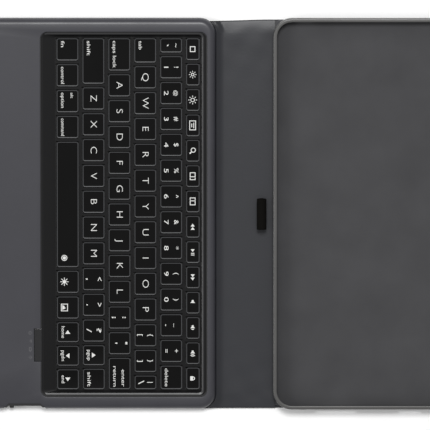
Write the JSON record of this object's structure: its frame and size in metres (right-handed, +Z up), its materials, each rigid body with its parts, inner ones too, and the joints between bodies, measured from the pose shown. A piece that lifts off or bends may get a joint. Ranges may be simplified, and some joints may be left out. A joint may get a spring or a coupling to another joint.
{
  "type": "tablet keyboard case",
  "caption": "Folding tablet case lying open: a keyboard panel with a padded palm rest, a soft rolling spine with a pen loop, and a rimmed tray with a stand flap for the tablet.",
  "frame": {"origin": "on the table, under the middle of the outline of the case lying open and flat", "axes": "+X to the right of the person typing, +Y away from them across the spine to the tray, +Z up"},
  "size_m": [0.254, 0.4018, 0.011],
  "materials": {
    "leather_cover": "matt grained",
    "soft_lining": "matt",
    "spine_leather": "matt grained",
    "stiffener": "matt",
    "frame_plastic": "matt",
    "deck_plastic": "satin",
    "key_plastic": "satin",
    "knob_plastic": "satin",
    "window_plastic": "gloss",
    "silicone": "matt",
    "film": "gloss",
    "light_guide": "gloss",
    "lamp": "gloss",
    "steel": "brushed",
    "battery_pouch": "satin",
    "lead": "matt",
    "circuit_board": "satin",
    "magnet": "plated",
    "tray_plastic": "satin",
    "tray_rubber": "matt",
    "microfibre": "napped",
    "elastic": "woven"
  },
  "bodies": {
    "keyboard_panel": {"front_cover_skin": "leather_cover", "front_cover_board": "stiffener", "panel_frame": "frame_plastic", "palm_rest_cover": "leather_cover", "keyboard_deck": "deck_plastic", "status_window": "window_plastic", "dome_sheet": "silicone", "switch_membrane": "film", "membrane_tail": "film", "light_guide": "light_guide", "backlight_lamps": "lamp", "base_plate": "steel", "base_plate_screws": "steel", "battery": "battery_pouch", "battery_lead": "lead", "control_board": "circuit_board", "wireless_module": "steel", "charging_socket": "steel", "port_plate": "deck_plastic", "power_switch_body": "frame_plastic", "closing_magnets": "magnet", "dock_magnets": "magnet"},
    "function_keys": {"function_keys": "key_plastic"},
    "number_keys": {"number_keys": "key_plastic"},
    "upper_letter_keys": {"upper_letter_keys": "key_plastic"},
    "home_letter_keys": {"home_letter_keys": "key_plastic"},
    "lower_letter_keys": {"lower_letter_keys": "key_plastic"},
    "bottom_row_keys": {"bottom_row_keys": "key_plastic"},
    "space_bar": {"space_bar": "key_plastic"},
    "tab_key": {"tab_key": "key_plastic"},
    "caps_lock_key": {"caps_lock_key": "key_plastic"},
    "left_shift_key": {"left_shift_key": "key_plastic"},
    "right_shift_key": {"right_shift_key": "key_plastic"},
    "enter_key": {"enter_key": "key_plastic"},
    "delete_key": {"delete_key": "key_plastic"},
    "power_switch": {"power_switch_knob": "knob_plastic"},
    "spine_1": {"spine_strip_1": "spine_leather"},
    "spine_2": {"spine_strip_2": "spine_leather"},
    "spine_3": {"spine_strip_3": "spine_leather"},
    "spine_4": {"spine_strip_4": "spine_leather"},
    "spine_5": {"spine_strip_5": "spine_leather"},
    "spine_edge": {"spine_edge_strip": "spine_leather", "pen_loop": "elastic"},
    "back_flap": {"flap_skin": "leather_cover", "flap_board": "stiffener", "flap_lining": "soft_lining"},
    "tablet_tray": {"back_cover_skin": "leather_cover", "back_cover_board": "stiffener", "tray_floor": "tray_plastic", "tray_rim": "tray_rubber", "tray_lining": "microfibre", "tray_dock_strip": "steel"}
  },
  "joints": [
    {"name": "spine_fold_1", "type": "hinge", "parent": "keyboard_panel", "child": "spine_1", "pos_m": [0, -0.01301, 0], "axis": [1, 0, 0], "range_deg": [0, 30]},
    {"name": "spine_fold_2", "type": "hinge", "parent": "spine_1", "child": "spine_2", "pos_m": [0, -0.00771, 0], "axis": [1, 0, 0], "range_deg": [0, 30]},
    {"name": "spine_fold_3", "type": "hinge", "parent": "spine_2", "child": "spine_3", "pos_m": [0, -0.0024, 0], "axis": [1, 0, 0], "range_deg": [0, 30]},
    {"name": "spine_fold_4", "type": "hinge", "parent": "spine_3", "child": "spine_4", "pos_m": [0, 0.0029, 0], "axis": [1, 0, 0], "range_deg": [0, 30]},
    {"name": "spine_fold_5", "type": "hinge", "parent": "spine_4", "child": "spine_5", "pos_m": [0, 0.00821, 0], "axis": [1, 0, 0], "range_deg": [0, 30]},
    {"name": "spine_fold_6", "type": "hinge", "parent": "spine_5", "child": "spine_edge", "pos_m": [0, 0.01351, 0], "axis": [1, 0, 0], "range_deg": [0, 30]},
    {"name": "stand_fold", "type": "hinge", "parent": "spine_edge", "child": "back_flap", "pos_m": [0, 0.02259, 0], "axis": [-1, 0, 0], "range_deg": [-95.75, 0]},
    {"name": "tray_fold", "type": "hinge", "parent": "back_flap", "child": "tablet_tray", "pos_m": [0, 0.09389, 0], "axis": [1, 0, 0], "range_deg": [-30.7, 0]},
    {"name": "function_keys_press", "type": "slide", "parent": "keyboard_panel", "child": "function_keys", "axis": [0, 0, 1], "range_m": [-0.0013, 0], "stiffness_N_per_m": 400, "springref_m": 0.0005, "deforming": ["dome_sheet"]},
    {"name": "number_keys_press", "type": "slide", "parent": "keyboard_panel", "child": "number_keys", "axis": [0, 0, 1], "range_m": [-0.0013, 0], "stiffness_N_per_m": 400, "springref_m": 0.0005, "deforming": ["dome_sheet"]},
    {"name": "upper_letter_keys_press", "type": "slide", "parent": "keyboard_panel", "child": "upper_letter_keys", "axis": [0, 0, 1], "range_m": [-0.0013, 0], "stiffness_N_per_m": 400, "springref_m": 0.0005, "deforming": ["dome_sheet"]},
    {"name": "home_letter_keys_press", "type": "slide", "parent": "keyboard_panel", "child": "home_letter_keys", "axis": [0, 0, 1], "range_m": [-0.0013, 0], "stiffness_N_per_m": 400, "springref_m": 0.0005, "deforming": ["dome_sheet"]},
    {"name": "lower_letter_keys_press", "type": "slide", "parent": "keyboard_panel", "child": "lower_letter_keys", "axis": [0, 0, 1], "range_m": [-0.0013, 0], "stiffness_N_per_m": 400, "springref_m": 0.0005, "deforming": ["dome_sheet"]},
    {"name": "bottom_row_keys_press", "type": "slide", "parent": "keyboard_panel", "child": "bottom_row_keys", "axis": [0, 0, 1], "range_m": [-0.0013, 0], "stiffness_N_per_m": 400, "springref_m": 0.0005, "deforming": ["dome_sheet"]},
    {"name": "space_bar_press", "type": "slide", "parent": "keyboard_panel", "child": "space_bar", "axis": [0, 0, 1], "range_m": [-0.0013, 0], "stiffness_N_per_m": 400, "springref_m": 0.0005, "deforming": ["dome_sheet"]},
    {"name": "tab_key_press", "type": "slide", "parent": "keyboard_panel", "child": "tab_key", "axis": [0, 0, 1], "range_m": [-0.0013, 0], "stiffness_N_per_m": 400, "springref_m": 0.0005, "deforming": ["dome_sheet"]},
    {"name": "caps_lock_key_press", "type": "slide", "parent": "keyboard_panel", "child": "caps_lock_key", "axis": [0, 0, 1], "range_m": [-0.0013, 0], "stiffness_N_per_m": 400, "springref_m": 0.0005, "deforming": ["dome_sheet"]},
    {"name": "left_shift_key_press", "type": "slide", "parent": "keyboard_panel", "child": "left_shift_key", "axis": [0, 0, 1], "range_m": [-0.0013, 0], "stiffness_N_per_m": 400, "springref_m": 0.0005, "deforming": ["dome_sheet"]},
    {"name": "right_shift_key_press", "type": "slide", "parent": "keyboard_panel", "child": "right_shift_key", "axis": [0, 0, 1], "range_m": [-0.0013, 0], "stiffness_N_per_m": 400, "springref_m": 0.0005, "deforming": ["dome_sheet"]},
    {"name": "enter_key_press", "type": "slide", "parent": "keyboard_panel", "child": "enter_key", "axis": [0, 0, 1], "range_m": [-0.0013, 0], "stiffness_N_per_m": 400, "springref_m": 0.0005, "deforming": ["dome_sheet"]},
    {"name": "delete_key_press", "type": "slide", "parent": "keyboard_panel", "child": "delete_key", "axis": [0, 0, 1], "range_m": [-0.0013, 0], "stiffness_N_per_m": 400, "springref_m": 0.0005, "deforming": ["dome_sheet"]},
    {"name": "power_switch_slide", "type": "slide", "parent": "keyboard_panel", "child": "power_switch", "axis": [0, 1, 0], "range_m": [0, 0.0025]}
  ],
  "couplings": [
    {"joint": "stand_fold", "follows": "tray_fold", "ratio": 3.1173}
  ]
}
